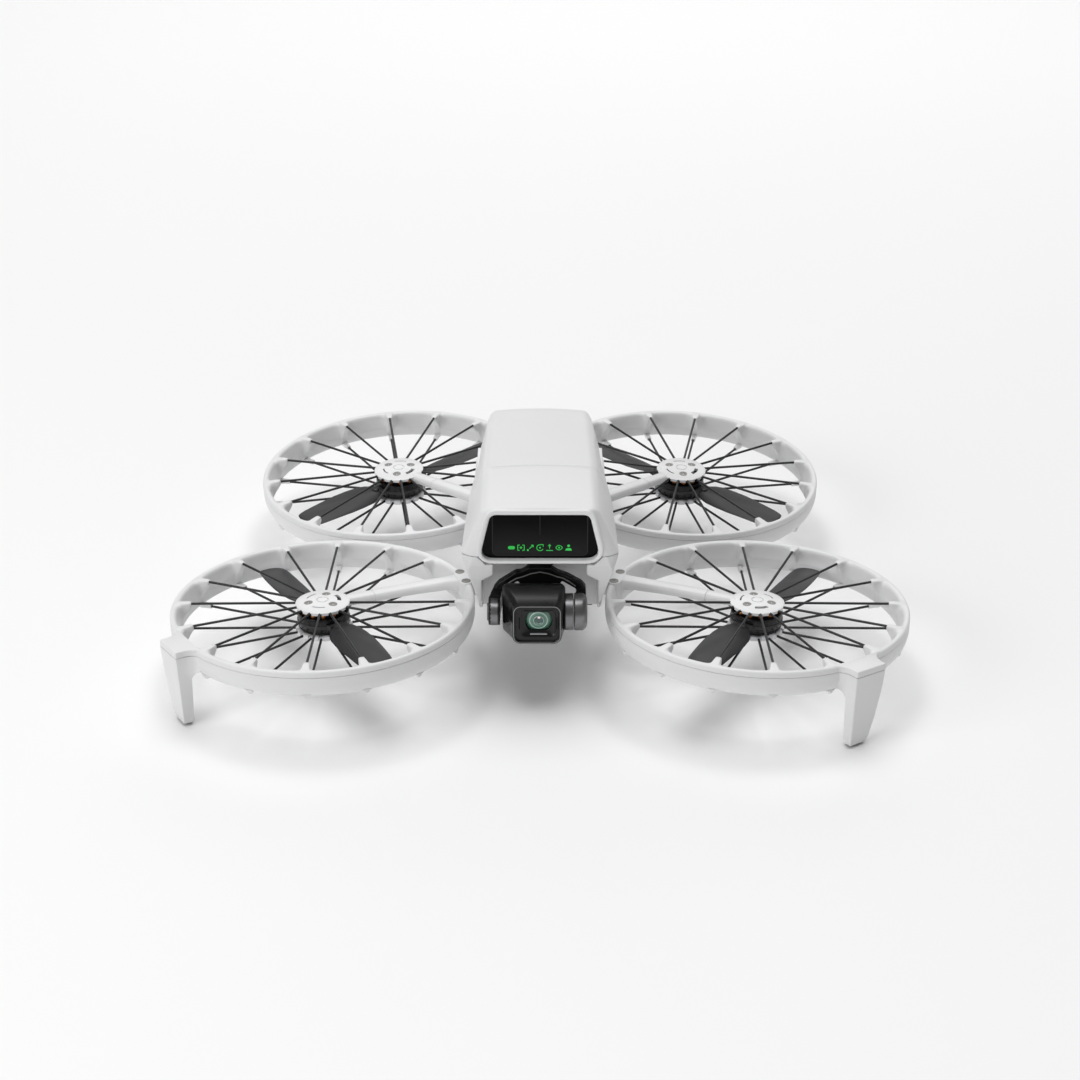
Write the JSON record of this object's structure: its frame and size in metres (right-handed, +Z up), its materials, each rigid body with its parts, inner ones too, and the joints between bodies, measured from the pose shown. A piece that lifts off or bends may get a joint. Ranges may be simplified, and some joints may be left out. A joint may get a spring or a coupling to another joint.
{
  "type": "folding quadcopter drone",
  "caption": "Folding quadcopter with round spoked propeller guards, two front legs, a wedge body with a sliding battery, a nose display and a stabilised camera.",
  "frame": {"origin": "under the centre of the outline of the whole unfolded drone, on the ground plane that the two front feet stand on", "axes": "+X to the right of somebody who looks at the camera, across the drone; +Y from the camera nose to the battery at the back; +Z up"},
  "size_m": [0.2784, 0.2336, 0.0784],
  "materials": {
    "white": "fine satin",
    "grey": "satin",
    "black": "satin",
    "gloss": "polished",
    "carbon": "drawn rod",
    "rubber": "soft",
    "steel": "brushed",
    "copper": "enamelled winding",
    "board": "lacquered",
    "glass": "green coated, opaque",
    "cell": "foil"
  },
  "bodies": {
    "body": {"front_left_hinge_bracket": "grey", "front_left_hinge_pin": "steel", "front_right_hinge_bracket": "grey", "front_right_hinge_pin": "steel", "rear_left_hinge_bracket": "grey", "rear_left_hinge_pin": "steel", "rear_right_hinge_bracket": "grey", "rear_right_hinge_pin": "steel", "upper_shell": "white", "lower_shell": "white", "front_window": "gloss", "status_display": "black", "belly_cover": "white", "main_board": "board", "heat_sink": "grey", "downward_sensor": "gloss", "charging_socket": "steel", "gimbal_mount": "black", "yaw_motor": "black"},
    "front_left_arm": {"front_left_guard": "white", "front_left_upper_spokes": "carbon", "front_left_lower_spokes": "carbon", "front_left_stator": "copper", "front_left_leg": "white", "front_left_foot": "rubber"},
    "front_left_prop": {"front_left_motor_bell": "black", "front_left_propeller": "black"},
    "front_right_arm": {"front_right_guard": "white", "front_right_upper_spokes": "carbon", "front_right_lower_spokes": "carbon", "front_right_stator": "copper", "front_right_leg": "white", "front_right_foot": "rubber"},
    "front_right_prop": {"front_right_motor_bell": "black", "front_right_propeller": "black"},
    "rear_left_arm": {"rear_left_guard": "white", "rear_left_upper_spokes": "carbon", "rear_left_lower_spokes": "carbon", "rear_left_stator": "copper"},
    "rear_left_prop": {"rear_left_motor_bell": "black", "rear_left_propeller": "black"},
    "rear_right_arm": {"rear_right_guard": "white", "rear_right_upper_spokes": "carbon", "rear_right_lower_spokes": "carbon", "rear_right_stator": "copper"},
    "rear_right_prop": {"rear_right_motor_bell": "black", "rear_right_propeller": "black"},
    "gimbal_yaw": {"yaw_arm": "black"},
    "gimbal_roll": {"roll_motor": "black", "roll_frame": "black", "tilt_motor": "black"},
    "camera": {"camera_housing": "black", "lens_barrel": "black", "lens_glass": "glass"},
    "battery": {"battery_shell": "white", "battery_cells": "cell"},
    "left_buckle": {"left_buckle": "white"},
    "right_buckle": {"right_buckle": "white"},
    "power_button": {"power_button": "grey"},
    "mode_button": {"mode_button": "grey"}
  },
  "joints": [
    {"name": "front_left_fold", "type": "hinge", "parent": "body", "child": "front_left_arm", "pos_m": [-0.02007, -0.03718, 0.02466], "axis": [0.3767, -0.8645, -0.3328], "range_deg": [0, 97.87]},
    {"name": "front_left_spin", "type": "hinge", "parent": "front_left_arm", "child": "front_left_prop", "pos_m": [-0.0817, -0.05954, 0.02501], "axis": [-0.0243, 0.0406, 0.9989], "continuous": true},
    {"name": "front_right_fold", "type": "hinge", "parent": "body", "child": "front_right_arm", "pos_m": [0.02007, -0.03718, 0.02466], "axis": [0.3767, 0.8645, 0.3328], "range_deg": [0, 97.87]},
    {"name": "front_right_spin", "type": "hinge", "parent": "front_right_arm", "child": "front_right_prop", "pos_m": [0.0817, -0.05954, 0.02501], "axis": [0.0243, 0.0406, 0.9989], "continuous": true},
    {"name": "rear_left_fold", "type": "hinge", "parent": "body", "child": "rear_left_arm", "pos_m": [-0.00901, 0.01521, 0.02709], "axis": [-0.4925, -0.75, 0.4416], "range_deg": [0, 105.4]},
    {"name": "rear_left_spin", "type": "hinge", "parent": "rear_left_arm", "child": "rear_left_prop", "pos_m": [-0.05925, 0.05955, 0.02485], "axis": [-0.0414, -0.0417, 0.9983], "continuous": true},
    {"name": "rear_right_fold", "type": "hinge", "parent": "body", "child": "rear_right_arm", "pos_m": [0.00901, 0.01521, 0.02709], "axis": [-0.4925, 0.75, -0.4416], "range_deg": [0, 105.4]},
    {"name": "rear_right_spin", "type": "hinge", "parent": "rear_right_arm", "child": "rear_right_prop", "pos_m": [0.05925, 0.05955, 0.02485], "axis": [0.0414, -0.0417, 0.9983], "continuous": true},
    {"name": "gimbal_pan", "type": "hinge", "parent": "body", "child": "gimbal_yaw", "pos_m": [0, -0.0585, 0.031], "axis": [0, 0, 1], "range_deg": [-11, 11]},
    {"name": "gimbal_roll_turn", "type": "hinge", "parent": "gimbal_yaw", "child": "gimbal_roll", "pos_m": [0, -0.062, 0.04], "axis": [0, 1, 0], "range_deg": [-20, 20]},
    {"name": "gimbal_tilt", "type": "hinge", "parent": "gimbal_roll", "child": "camera", "pos_m": [0, -0.077, 0.036], "axis": [1, 0, 0], "range_deg": [-35, 90]},
    {"name": "battery_slide", "type": "slide", "parent": "body", "child": "battery", "axis": [0, 1, 0], "range_m": [0, 0.075]},
    {"name": "left_buckle_press", "type": "slide", "parent": "battery", "child": "left_buckle", "axis": [1, 0, 0], "range_m": [0, 0.0012], "stiffness_N_per_m": 400, "springref_m": -0.0005},
    {"name": "right_buckle_press", "type": "slide", "parent": "battery", "child": "right_buckle", "axis": [-1, 0, 0], "range_m": [0, 0.0012], "stiffness_N_per_m": 400, "springref_m": -0.0005},
    {"name": "power_button_press", "type": "slide", "parent": "battery", "child": "power_button", "axis": [0, -1, 0], "range_m": [0, 0.0006], "stiffness_N_per_m": 600, "springref_m": -0.0004},
    {"name": "mode_button_press", "type": "slide", "parent": "body", "child": "mode_button", "axis": [1, 0, 0], "range_m": [0, 0.0006], "stiffness_N_per_m": 600, "springref_m": -0.0004}
  ]
}
